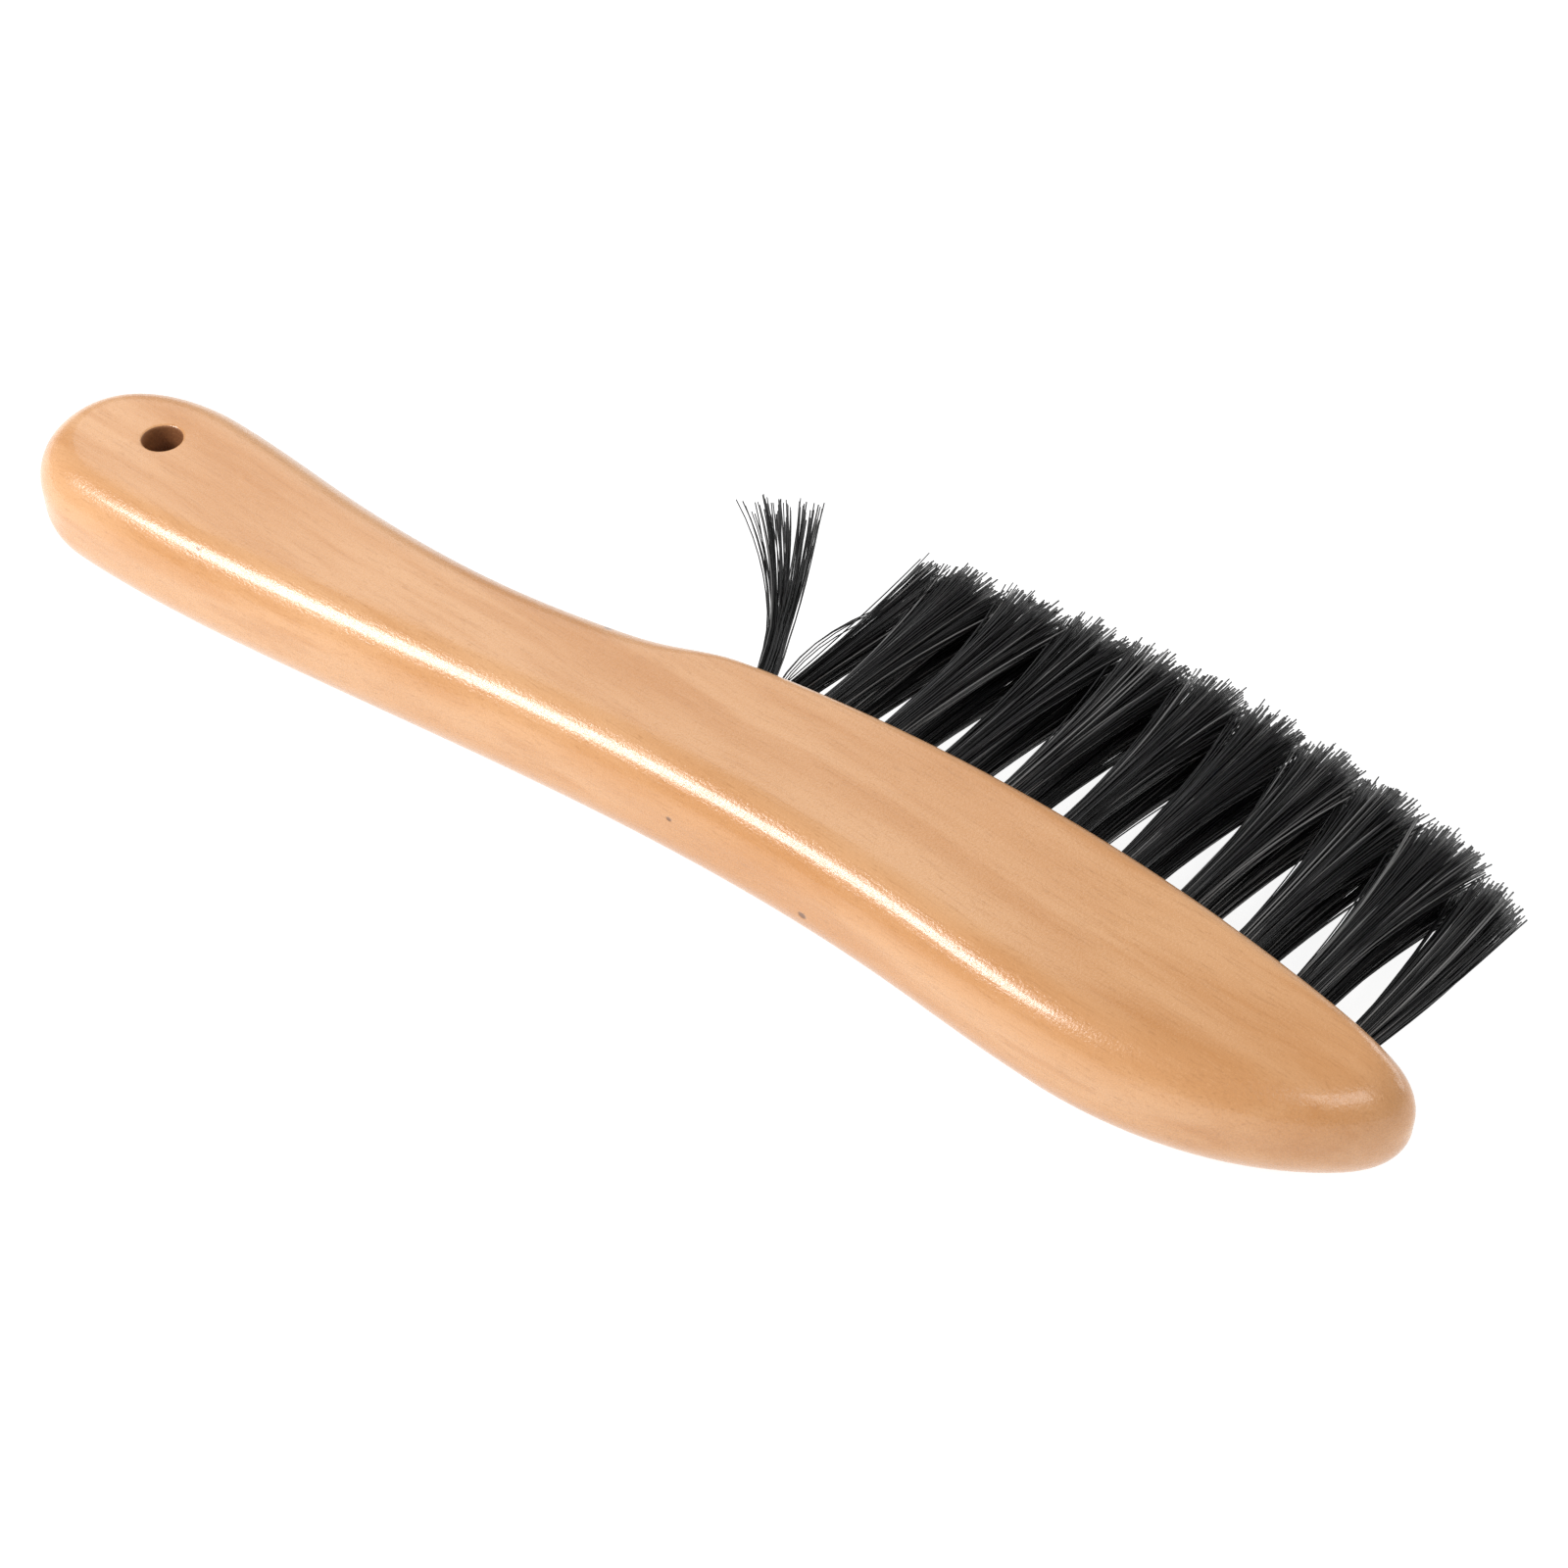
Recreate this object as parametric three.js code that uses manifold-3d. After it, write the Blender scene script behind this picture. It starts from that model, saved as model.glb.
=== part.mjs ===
// Clothes brush with a handle: one wooden block, black bristle tufts in two rows along one
// edge of the head, and a wire staple that anchors each tuft in its hole. Millimetres, +Z up.
// The brush lies on its flat side: +X runs from the handle to the nose, +Y is the way the
// bristles point, and +Z is the thickness of the block.
import * as THREE from "three";
import { mergeVertices } from "three/addons/utils/BufferGeometryUtils.js";
import Module from "manifold-3d";

// ---- Wooden block ----
const BLOCK_THICKNESS = 20;
const HANDLE_LENGTH = 138; // from the first tuft column to the butt of the handle
const BUTT_WIDTH = 35.8;
const BUTT_DROP = 15.6; // from the crown of the bristle face down to the top of the butt
const BUTT_TOP_REACH = 25.6; // from the butt's end to the top of its flare
const BUTT_LOW_REACH = 19; // from the butt's end to the lowest place on the back
const WAIST_DROP = 17.2; // from the crown of the bristle face to the top of the handle's waist
const WAIST_REACH = 71.6; // from the first tuft column back to the handle's waist
const HEAD_WIDTH = 36; // from the crown of the bristle face to the belly of the back
const BELLY_FROM_NOSE = 48.7; // from the tip of the nose back to the belly
const HOLLOW_FROM_NOSE = 89.3; // from the tip of the nose to the slight hollow in the back
const HOLLOW_DEPTH = 1.4;
const FACE_RADIUS = 290; // the bristle face is slightly convex along its length
const SHOULDER_MARGIN = 5.5; // from the first tuft column to the start of the bristle face
const SHOULDER_ANGLE = 14.5; // slope of the shoulder where it meets the face, in degrees
const NOSE_MARGIN = 3; // from the nose tuft to the end of the bristle face
const NOSE_OVERHANG = 15; // from the nose tuft to the tip of the nose
const NOSE_BELOW_FACE = 6; // from the end of the bristle face down to the tip of the nose
const SIDE_EDGE_RADIUS = 8; // rounding along the back, the handle and the nose
const FACE_EDGE_RADIUS = 3.5; // smaller rounding beside the tufts
const HANG_HOLE_DIAMETER = 7;
const HANG_HOLE_FROM_BUTT = 22;
const HANG_HOLE_FROM_TOP = 15.6; // below the top of the butt
const HANG_HOLE_RIM = 0.5; // broken edge at both mouths of the hang hole

// ---- Tufts ----
const TUFT_COLUMNS = 10; // each column holds an upper and a lower tuft
const TUFT_PITCH = 11.4;
const ROW_SPACING = 7;
const NOSE_TUFT_GAP = 10.1; // from the last column to the single tuft at the nose
const TUFT_HOLE_DIAMETER = 4.5;
const TUFT_HOLE_DEPTH = 12;
const BRISTLE_REACH = 42; // free length of the bristles above the face
const SPLAY_BACK = 25; // how far the first upper tuft leans towards the handle at its tips
const SPLAY_UP = 6.5; // how far its tips rise
const SPLAY_CURVE = 1.4; // exponent of the lean along the bristles

// ---- Staples ----
const WIRE_WIDTH = 0.8;
const WIRE_BEVEL = 0.2;
const FOLD_THICKNESS = 1.5; // bristles bent round under the staple's crown
const LEG_BITE = 3; // how far the legs go into the wood below the hole

// ---- Fits and facets ----
const FIT_GAP = 0.3; // clearance between touching pieces
const ROUND_SIDES = 10;
const HANG_HOLE_SIDES = 24;
const CURVE_STEPS = 9; // odd, so that no point falls on the middle of an S-curve
const EDGE_STEPS = 4;

const firstColumnX = (-TUFT_COLUMNS / 2) * TUFT_PITCH;
const lastColumnX = firstColumnX + (TUFT_COLUMNS - 1) * TUFT_PITCH;
const noseTuftX = lastColumnX + NOSE_TUFT_GAP;
const buttX = firstColumnX - HANDLE_LENGTH;
const noseX = noseTuftX + NOSE_OVERHANG;
const middleZ = BLOCK_THICKNESS / 2;
const holeRadius = TUFT_HOLE_DIAMETER / 2;
const rootRadius = holeRadius - FIT_GAP;
const legOffset = rootRadius - WIRE_WIDTH / 2;
const foldY = FIT_GAP - TUFT_HOLE_DEPTH;

const wasm = await Module();
wasm.setup();

/** Height of the convex bristle face at x, measured from its crown. */
function faceY(x) {
  return Math.sqrt(FACE_RADIUS ** 2 - x ** 2) - FACE_RADIUS;
}

/** Turns a closed three.js geometry into a solid. */
function toSolid(geometry) {
  const bare = new THREE.BufferGeometry();
  bare.setAttribute("position", geometry.getAttribute("position"));
  bare.setIndex(geometry.index);
  const merged = mergeVertices(bare, 1e-4);
  const mesh = new wasm.Mesh({
    numProp: 3,
    vertProperties: new Float32Array(merged.attributes.position.array),
    triVerts: new Uint32Array(merged.index.array),
  });
  return new wasm.Manifold(mesh);
}

/** Turns a solid back into a three.js geometry. */
function toGeometry(solid) {
  const mesh = solid.getMesh();
  const geometry = new THREE.BufferGeometry();
  geometry.setAttribute("position", new THREE.BufferAttribute(mesh.vertProperties, 3));
  geometry.setIndex(new THREE.BufferAttribute(mesh.triVerts, 1));
  return geometry.toNonIndexed();
}

/** Geometry turned round the Y axis from a list of [radius, y] pairs, lowest point first. */
function lathe(profile, sides) {
  const points = profile.map(([radius, y]) => new THREE.Vector2(radius, y));
  return new THREE.LatheGeometry(points, sides);
}

// ---- Outline of the block ----

/** Places where the outline turns, each with the direction it runs in there, in degrees. */
function outlineNodes() {
  const faceStartX = firstColumnX - SHOULDER_MARGIN;
  const faceEndX = noseTuftX + NOSE_MARGIN;
  const faceEndAngle = THREE.MathUtils.radToDeg(Math.asin(faceEndX / FACE_RADIUS));
  const buttMiddle = -BUTT_DROP - BUTT_WIDTH / 2;
  return {
    faceEnd: { x: faceEndX, y: faceY(faceEndX), angle: 180 - faceEndAngle },
    faceStart: { x: faceStartX, y: faceY(faceStartX), angle: 180 + SHOULDER_ANGLE },
    waist: { x: firstColumnX - WAIST_REACH, y: -WAIST_DROP, angle: 180 },
    buttTop: { x: buttX + BUTT_TOP_REACH, y: -BUTT_DROP, angle: 180 },
    buttEnd: { x: buttX, y: buttMiddle, angle: 270 },
    buttLow: { x: buttX + BUTT_LOW_REACH, y: -BUTT_DROP - BUTT_WIDTH, angle: 0 },
    backHollow: { x: noseX - HOLLOW_FROM_NOSE, y: HOLLOW_DEPTH - HEAD_WIDTH, angle: 0 },
    belly: { x: noseX - BELLY_FROM_NOSE, y: -HEAD_WIDTH, angle: 0 },
    noseTip: { x: noseX, y: faceY(faceEndX) - NOSE_BELOW_FACE, angle: 90 },
  };
}

/**
 * Continues the outline to a node, leaving and arriving along the nodes' directions. The pulls
 * say how long each end keeps its direction, as a share of the distance.
 */
function curveTo(shape, from, to, leavePull = 0.4, arrivePull = 0.4) {
  const distance = Math.hypot(to.x - from.x, to.y - from.y);
  const leave = THREE.MathUtils.degToRad(from.angle);
  const arrive = THREE.MathUtils.degToRad(to.angle);
  shape.bezierCurveTo(
    from.x + leavePull * distance * Math.cos(leave),
    from.y + leavePull * distance * Math.sin(leave),
    to.x - arrivePull * distance * Math.cos(arrive),
    to.y - arrivePull * distance * Math.sin(arrive),
    to.x,
    to.y,
  );
}

/** Adds the handle and the back, from the start of the bristle face round to the nose. */
function handleAndBack(shape, node) {
  curveTo(shape, node.faceStart, node.waist, 0.37, 0.42);
  curveTo(shape, node.waist, node.buttTop);
  curveTo(shape, node.buttTop, node.buttEnd);
  curveTo(shape, node.buttEnd, node.buttLow);
  curveTo(shape, node.buttLow, node.backHollow, 0.28, 0.37);
  curveTo(shape, node.backHollow, node.belly);
  curveTo(shape, node.belly, node.noseTip, 0.48, 0.17);
}

/** The block's true outline, anticlockwise from the end of the bristle face. */
function blockOutline() {
  const node = outlineNodes();
  const angleAt = (x) => Math.acos(x / FACE_RADIUS);
  const shape = new THREE.Shape();
  shape.moveTo(node.faceEnd.x, node.faceEnd.y);
  shape.absarc(0, -FACE_RADIUS, FACE_RADIUS, angleAt(node.faceEnd.x), angleAt(node.faceStart.x));
  handleAndBack(shape, node);
  curveTo(shape, node.noseTip, node.faceEnd);
  return shape;
}

/** The same outline with its bristle side raised, so that the large rounding stays off it. */
function raisedOutline(lift) {
  const node = outlineNodes();
  const raisedEnd = { x: node.faceEnd.x - lift, y: lift, angle: 180 };
  const shape = new THREE.Shape();
  shape.moveTo(raisedEnd.x, raisedEnd.y);
  shape.lineTo(node.faceStart.x + lift, lift);
  shape.lineTo(node.faceStart.x, node.faceStart.y);
  handleAndBack(shape, node);
  curveTo(shape, node.noseTip, raisedEnd);
  return shape;
}

/** A slab of the outline with its long edges rounded, between the two flat sides. */
function roundedSlab(outline, edgeRadius, edgeSteps) {
  const geometry = new THREE.ExtrudeGeometry(outline, {
    depth: BLOCK_THICKNESS - 2 * edgeRadius,
    curveSegments: CURVE_STEPS,
    bevelThickness: edgeRadius,
    bevelSize: edgeRadius,
    bevelOffset: -edgeRadius,
    bevelSegments: edgeSteps,
  });
  geometry.translate(0, 0, edgeRadius);
  return toSolid(geometry);
}

/** The hang hole's cutter, which widens at both flat sides to break the edges. */
function hangHoleCutter() {
  const radius = HANG_HOLE_DIAMETER / 2;
  const past = 1;
  const geometry = lathe(
    [
      [0, -past],
      [radius + HANG_HOLE_RIM + past, -past],
      [radius, HANG_HOLE_RIM],
      [radius, BLOCK_THICKNESS - HANG_HOLE_RIM],
      [radius + HANG_HOLE_RIM + past, BLOCK_THICKNESS + past],
      [0, BLOCK_THICKNESS + past],
    ],
    HANG_HOLE_SIDES,
  );
  geometry.rotateX(Math.PI / 2);
  geometry.translate(buttX + HANG_HOLE_FROM_BUTT, -BUTT_DROP - HANG_HOLE_FROM_TOP, 0);
  return toSolid(geometry);
}

/** A drilled blind hole along Y with its mouth at y = 0 and a drill point at the bottom. */
function tuftHoleCutter() {
  const drillPoint = holeRadius * Math.tan(THREE.MathUtils.degToRad(31));
  const pastMouth = 3;
  return toSolid(
    lathe(
      [
        [0, -TUFT_HOLE_DEPTH - drillPoint],
        [holeRadius, -TUFT_HOLE_DEPTH],
        [holeRadius, pastMouth],
        [0, pastMouth],
      ],
      ROUND_SIDES,
    ),
  );
}

// ---- Staples ----

/** Outline of the U-shaped staple in its own plane, grown by a clearance all round. */
function stapleOutline(clearance) {
  const outer = legOffset + WIRE_WIDTH / 2 + clearance;
  const inner = legOffset - WIRE_WIDTH / 2 - clearance;
  const crownLow = foldY + FOLD_THICKNESS - clearance;
  const crownTop = foldY + FOLD_THICKNESS + WIRE_WIDTH + clearance;
  const legEnd = -TUFT_HOLE_DEPTH - LEG_BITE - clearance;
  const bend = WIRE_WIDTH + clearance;
  const shape = new THREE.Shape();
  shape.moveTo(-outer, legEnd);
  shape.lineTo(-inner, legEnd + WIRE_WIDTH);
  shape.lineTo(-inner, crownLow);
  shape.lineTo(inner, crownLow);
  shape.lineTo(inner, legEnd + WIRE_WIDTH);
  shape.lineTo(outer, legEnd);
  shape.lineTo(outer, crownTop - bend);
  shape.absarc(outer - bend, crownTop - bend, bend, 0, Math.PI / 2);
  shape.absarc(bend - outer, crownTop - bend, bend, Math.PI / 2, Math.PI);
  return shape;
}

/** The staple, or with a clearance the space that it takes in the block and the tuft. */
function stapleSolid(clearance = 0) {
  const bevel = clearance > 0 ? 0 : WIRE_BEVEL;
  const width = WIRE_WIDTH + 2 * clearance;
  const geometry = new THREE.ExtrudeGeometry(stapleOutline(clearance), {
    depth: width - 2 * bevel,
    curveSegments: 2,
    bevelEnabled: bevel > 0,
    bevelThickness: bevel,
    bevelSize: bevel,
    bevelOffset: -bevel,
    bevelSegments: 1,
  });
  geometry.translate(0, 0, bevel - width / 2);
  geometry.rotateY(Math.PI / 2);
  return toSolid(geometry);
}

// ---- Tufts ----

/** Half of a tuft's size at a share of its free length, from its root out to its full spread. */
function spreadAt(share, fullSpread) {
  const opened = Math.min(Math.max(share, 0) / 0.7, 1);
  return rootRadius + (fullSpread - rootRadius) * Math.sin((opened * Math.PI) / 2);
}

/**
 * A bundle of bristles folded round its staple. The root fills the hole, and the brush part
 * widens to its spread. back and up lean the tips, with the bristles' length kept.
 */
function tuftSolid({ spreadX, spreadZ, back = 0, up = 0 }) {
  const rise = Math.sqrt(BRISTLE_REACH ** 2 - back ** 2 - up ** 2) / BRISTLE_REACH;
  const profile = [
    [0, foldY],
    [0.6, foldY + 0.25],
    [1, foldY + 1],
    [1, 0],
    [1, BRISTLE_REACH * 0.2],
    [1, BRISTLE_REACH * 0.42],
    [1, BRISTLE_REACH * 0.7],
    [0.97, BRISTLE_REACH * 0.97],
    [0, BRISTLE_REACH],
  ];
  const geometry = lathe(profile, ROUND_SIDES);
  const position = geometry.getAttribute("position");
  for (let i = 0; i < position.count; i += 1) {
    const y = position.getY(i);
    const share = Math.max(y, 0) / BRISTLE_REACH;
    const lean = share ** SPLAY_CURVE;
    position.setX(i, position.getX(i) * spreadAt(share, spreadX) - back * lean);
    position.setZ(i, position.getZ(i) * spreadAt(share, spreadZ) + up * lean);
    position.setY(i, y > 0 ? y * rise : y);
  }
  return toSolid(geometry).subtract(stapleSolid(FIT_GAP));
}

/** Every tuft's name, place and spread. */
function tuftLayout() {
  const spreadX = (TUFT_PITCH - FIT_GAP) / 2;
  const spreadZ = (ROW_SPACING - FIT_GAP) / 2;
  const layout = [];
  for (let column = 0; column < TUFT_COLUMNS; column += 1) {
    const x = firstColumnX + column * TUFT_PITCH;
    const splay = column === 0 ? { back: SPLAY_BACK, up: SPLAY_UP } : {};
    layout.push(
      { name: `upper_${column + 1}`, x, z: middleZ + ROW_SPACING / 2, spreadX, spreadZ, ...splay },
      { name: `lower_${column + 1}`, x, z: middleZ - ROW_SPACING / 2, spreadX, spreadZ },
    );
  }
  const noseSpread = NOSE_TUFT_GAP - FIT_GAP - spreadX;
  layout.push({ name: "nose", x: noseTuftX, z: middleZ, spreadX: noseSpread, spreadZ });
  return layout;
}

/** The wooden block with its hang hole, tuft holes and staple pockets. */
function blockSolid(layout) {
  const sides = roundedSlab(raisedOutline(SIDE_EDGE_RADIUS + 2), SIDE_EDGE_RADIUS, EDGE_STEPS);
  const face = roundedSlab(blockOutline(), FACE_EDGE_RADIUS, EDGE_STEPS / 2);
  const socket = tuftHoleCutter().add(stapleSolid(FIT_GAP));
  let block = sides.intersect(face).subtract(hangHoleCutter());
  for (const { x, z } of layout) {
    block = block.subtract(socket.translate([x, faceY(x), z]));
  }
  return block;
}

// ---- Assembly ----

/** A named mesh with a material of its own. */
function mesh(name, solid, finish) {
  const made = new THREE.Mesh(toGeometry(solid), new THREE.MeshStandardMaterial(finish));
  made.name = name;
  return made;
}

const WOOD = { color: 0xe0a96f, roughness: 0.35, metalness: 0 };
const BRISTLE = { color: 0x121212, roughness: 0.4, metalness: 0 };
const STEEL = { color: 0xa8abad, roughness: 0.35, metalness: 1 };

const brush = new THREE.Group();
const layout = tuftLayout();
brush.add(mesh("block", blockSolid(layout), WOOD));
for (const tuft of layout) {
  const seat = new THREE.Group();
  seat.position.set(tuft.x, faceY(tuft.x), tuft.z);
  seat.add(mesh(`tuft_${tuft.name}`, tuftSolid(tuft), BRISTLE));
  seat.add(mesh(`staple_${tuft.name}`, stapleSolid(), STEEL));
  brush.add(seat);
}

// The origin is the middle of the footprint, on the surface that the brush lies on.
const extent = new THREE.Box3().setFromObject(brush, true);
const centre = extent.getCenter(new THREE.Vector3());
brush.position.set(-centre.x, -centre.y, -extent.min.z);

export default brush;
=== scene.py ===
"""Clothes brush with a handle, dressed around its solids.

One lacquered hardwood block, twenty-one tufts of black bristle set in drilled holes along one edge
of the head, and the wire staple that anchors each tuft. Lengths are millimetres in the classes and
metres in the scene. +X runs from the handle to the nose, +Y is the way the bristles point, and +Z is
the thickness of the block, which lies on its flat side.
"""

import logging
import math
from dataclasses import dataclass, field
from enum import Enum

import bmesh
import bpy
import numpy as np
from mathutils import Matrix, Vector


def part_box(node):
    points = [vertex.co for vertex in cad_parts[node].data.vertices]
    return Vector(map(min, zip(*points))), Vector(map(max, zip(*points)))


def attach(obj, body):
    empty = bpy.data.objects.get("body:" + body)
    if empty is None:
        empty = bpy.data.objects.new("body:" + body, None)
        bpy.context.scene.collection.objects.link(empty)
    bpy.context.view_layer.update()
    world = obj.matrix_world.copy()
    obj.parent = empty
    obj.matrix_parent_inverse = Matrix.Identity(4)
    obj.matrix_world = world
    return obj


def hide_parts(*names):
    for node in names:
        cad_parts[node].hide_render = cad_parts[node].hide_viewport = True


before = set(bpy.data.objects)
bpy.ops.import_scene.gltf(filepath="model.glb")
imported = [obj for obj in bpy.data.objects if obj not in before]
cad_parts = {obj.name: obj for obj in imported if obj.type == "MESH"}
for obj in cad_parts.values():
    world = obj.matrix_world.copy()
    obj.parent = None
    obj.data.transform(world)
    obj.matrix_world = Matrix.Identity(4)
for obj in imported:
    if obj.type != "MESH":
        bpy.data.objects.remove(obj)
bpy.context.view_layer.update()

LOG = logging.getLogger("clothes_brush")
MM = 0.001


# ---------------------------------------------------------------------------------------------
# Small helpers
# ---------------------------------------------------------------------------------------------


def smoothstep(low: float, high: float, value: np.ndarray) -> np.ndarray:
    """Rises smoothly from 0 to 1 while value goes from low to high.

    Args:
        low: Where the rise starts.
        high: Where the rise ends.
        value: The values to read.

    Returns:
        The smoothed share of each value.
    """
    share = np.clip((value - low) / (high - low), 0.0, 1.0)
    return share * share * (3.0 - 2.0 * share)


def smooth_round(values: np.ndarray, reach: int) -> np.ndarray:
    """Averages each value of a closed row with its neighbours, under a bell-shaped weight.

    Args:
        values: One row of numbers or vectors for each place round a closed line.
        reach: How many neighbours on each side take part.

    Returns:
        The smoothed row.
    """
    offsets = np.arange(-reach, reach + 1)
    weights = np.exp(-0.5 * (offsets / (0.5 * reach)) ** 2)
    total = sum(w * np.roll(values, k, axis=0) for k, w in zip(offsets, weights))
    return total / weights.sum()


def unit(vectors: np.ndarray) -> np.ndarray:
    """Scales each vector to length 1."""
    return vectors / np.linalg.norm(vectors, axis=-1, keepdims=True)


def link_mesh(name: str, mesh: bpy.types.Mesh) -> bpy.types.Object:
    """Puts a mesh in the scene as a smooth-shaded object.

    Args:
        name: The new object's name.
        mesh: Its mesh.

    Returns:
        The object.
    """
    made = bpy.data.objects.new(name, mesh)
    bpy.context.scene.collection.objects.link(made)
    mesh.polygons.foreach_set("use_smooth", [True] * len(mesh.polygons))
    return made


def mesh_from(name: str, points: np.ndarray, faces: list) -> bpy.types.Mesh:
    """Makes a mesh from points in millimetres.

    Args:
        name: The mesh's name.
        points: One row of x, y, z for each vertex.
        faces: Vertex numbers of each face.

    Returns:
        The mesh, in metres.
    """
    mesh = bpy.data.meshes.new(name)
    mesh.from_pydata((points * MM).tolist(), [], faces)
    mesh.update()
    return mesh


def lathe(profile: list[tuple[float, float]], sides: int) -> tuple[np.ndarray, list]:
    """Turns a profile round the Y axis into a closed surface.

    Args:
        profile: Radius and height pairs, lowest first, that start and end on the axis.
        sides: How many sides the turned shape has.

    Returns:
        Its points and its faces, which point outwards.
    """
    turns = np.arange(sides) * 2.0 * math.pi / sides
    rings = profile[1:-1]
    points = [(0.0, profile[0][1], 0.0)]
    for radius, height in rings:
        points += [(radius * math.sin(t), height, radius * math.cos(t)) for t in turns]
    points.append((0.0, profile[-1][1], 0.0))
    last = len(points) - 1
    faces = []
    for side in range(sides):
        after = (side + 1) % sides
        faces.append((0, 1 + after, 1 + side))
        for ring in range(len(rings) - 1):
            low = 1 + ring * sides
            high = low + sides
            faces.append((low + side, low + after, high + after, high + side))
        top = 1 + (len(rings) - 1) * sides
        faces.append((top + side, top + after, last))
    return np.array(points), faces


def carve(piece: bpy.types.Object, cutter: bpy.types.Object) -> None:
    """Cuts one object out of another and removes the cutter.

    Args:
        piece: The object that is cut.
        cutter: The object that takes material away.
    """
    cut = piece.modifiers.new("cut", "BOOLEAN")
    cut.operation = "DIFFERENCE"
    cut.solver = "EXACT"
    cut.object = cutter
    depsgraph = bpy.context.evaluated_depsgraph_get()
    result = bpy.data.meshes.new_from_object(piece.evaluated_get(depsgraph))
    piece.modifiers.clear()
    old = piece.data
    piece.data = result
    result.name = old.name + "_cut"
    bpy.data.meshes.remove(old)
    bpy.data.objects.remove(cutter)


# ---------------------------------------------------------------------------------------------
# Shader graphs
# ---------------------------------------------------------------------------------------------


class Graph:
    """Adds nodes to one shader tree and links them."""

    def __init__(self, tree: bpy.types.NodeTree) -> None:
        """Keeps the tree that the nodes go into."""
        self.tree = tree

    def node(self, kind: str, settings: dict | None = None, **inputs: object) -> bpy.types.Node:
        """Adds a node.

        Args:
            kind: The node's type.
            settings: Its properties, such as its operation.
            **inputs: Values or sockets for its inputs, with _ for a space in a name.

        Returns:
            The node.
        """
        made = self.tree.nodes.new(kind)
        for name, value in (settings or {}).items():
            setattr(made, name, value)
        for name, value in inputs.items():
            self.feed(made.inputs[name.replace("_", " ")], value)
        return made

    def feed(self, socket: bpy.types.NodeSocket, value: object) -> None:
        """Links an output to a socket, or sets the socket's own value."""
        if isinstance(value, bpy.types.NodeSocket):
            self.tree.links.new(value, socket)
        else:
            socket.default_value = value

    def math(self, operation: str, first: object, second: object = 0.0) -> bpy.types.NodeSocket:
        """Adds a Math node and gives its output."""
        made = self.node("ShaderNodeMath", {"operation": operation})
        self.feed(made.inputs[0], first)
        self.feed(made.inputs[1], second)
        return made.outputs[0]

    def vector(self, operation: str, first: object, second: object) -> bpy.types.NodeSocket:
        """Adds a Vector Math node and gives its output."""
        made = self.node("ShaderNodeVectorMath", {"operation": operation})
        self.feed(made.inputs[0], first)
        self.feed(made.inputs[1], second)
        return made.outputs[0]

    def scaled(self, vector: bpy.types.NodeSocket, factor: float) -> bpy.types.NodeSocket:
        """Multiplies a vector by one number and gives the result."""
        made = self.node("ShaderNodeVectorMath", {"operation": "SCALE"}, Scale=factor)
        self.feed(made.inputs[0], vector)
        return made.outputs[0]

    def ramp(
        self, value: object, low: float, high: float, start: float = 0.0, end: float = 1.0
    ) -> bpy.types.NodeSocket:
        """Maps low to high onto start to end, smoothly and held at both ends.

        Args:
            value: The output to map.
            low: The value that gives start.
            high: The value that gives end.
            start: The result at low.
            end: The result at high.

        Returns:
            The mapped output.
        """
        made = self.node("ShaderNodeMapRange", {"interpolation_type": "SMOOTHSTEP"}, Value=value)
        made.inputs["From Min"].default_value = low
        made.inputs["From Max"].default_value = high
        made.inputs["To Min"].default_value = start
        made.inputs["To Max"].default_value = end
        return made.outputs["Result"]

    def mix(self, share: object, first: object, second: object) -> bpy.types.NodeSocket:
        """Mixes two colours.

        Args:
            share: How much of the second colour shows.
            first: The colour at 0.
            second: The colour at 1.

        Returns:
            The mixed colour's output.
        """
        made = self.node("ShaderNodeMix", {"data_type": "RGBA"})
        self.feed(made.inputs["Factor"], share)
        self.feed(made.inputs["A"], first)
        self.feed(made.inputs["B"], second)
        return made.outputs["Result"]


def new_group(
    name: str, inputs: dict[str, float | None], outputs: dict[str, str]
) -> tuple[bpy.types.NodeTree, Graph, bpy.types.Node, bpy.types.Node]:
    """Starts a node group with named sockets.

    Args:
        name: The group's name.
        inputs: The start value of each input, or None for a vector.
        outputs: The socket type of each output.

    Returns:
        The group's tree, its graph, its input node and its output node.
    """
    tree = bpy.data.node_groups.new(name, "ShaderNodeTree")
    for label, value in inputs.items():
        kind = "NodeSocketVector" if value is None else "NodeSocketFloat"
        socket = tree.interface.new_socket(label, in_out="INPUT", socket_type=kind)
        if value is not None:
            socket.default_value = value
    for label, kind in outputs.items():
        tree.interface.new_socket(label, in_out="OUTPUT", socket_type=kind)
    graph = Graph(tree)
    return tree, graph, graph.node("NodeGroupInput"), graph.node("NodeGroupOutput")


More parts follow.
